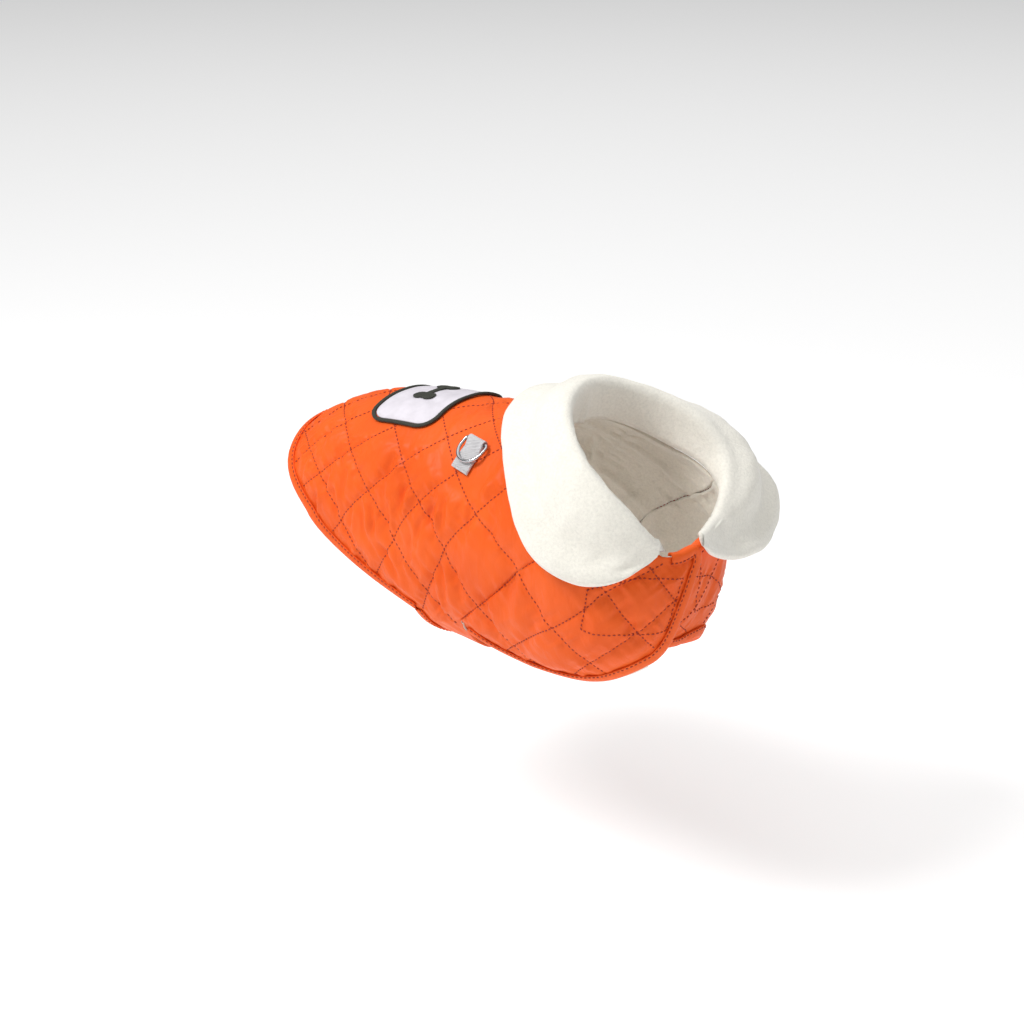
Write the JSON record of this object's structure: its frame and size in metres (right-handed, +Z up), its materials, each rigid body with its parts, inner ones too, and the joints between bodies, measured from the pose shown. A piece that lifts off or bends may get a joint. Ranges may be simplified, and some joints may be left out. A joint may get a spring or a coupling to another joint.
{
  "type": "dog winter coat",
  "caption": "Quilted vest coat for a small dog, shown as worn with no dog: turned-down fleece collar, overlapping chest flaps, belly strap, badge and lead ring.",
  "frame": {"origin": "inside of the back between the shoulders, where the wearer's back holds the coat up", "axes": "+X towards the head, +Y to the wearer's left, +Z up"},
  "size_m": [0.3139, 0.1868, 0.1848],
  "materials": {
    "shell": "shiny quilted nylon",
    "binding": "shiny folded nylon tape",
    "fleece": "matt short-pile fleece",
    "badge_cloth": "smooth woven",
    "dark_trim": "matt",
    "webbing": "ribbed webbing",
    "ring_steel": "bright plated",
    "hook_and_loop": "matt nap"
  },
  "bodies": {
    "coat": {"back_panel": "shell", "chest_flap_right": "shell", "chest_flap_left": "shell", "belly_strap_right": "shell", "belly_strap_left": "shell", "hem_binding": "binding", "chest_binding_right": "binding", "chest_binding_left": "binding", "strap_binding_right": "binding", "strap_binding_left": "binding", "collar": "fleece", "badge": "badge_cloth", "badge_piping": "dark_trim", "badge_motif": "dark_trim", "ring_tab": "webbing", "belly_hook_pad": "hook_and_loop", "belly_loop_pad": "hook_and_loop", "chest_lining": "fleece"},
    "ring": {"lead_ring": "ring_steel"}
  },
  "joints": [
    {"name": "ring_swing", "type": "hinge", "parent": "coat", "child": "ring", "pos_m": [-0.00851, -0.03977, -0.00808], "axis": [-0.9764, 0.1835, 0.1139], "range_deg": [0, 150]}
  ]
}
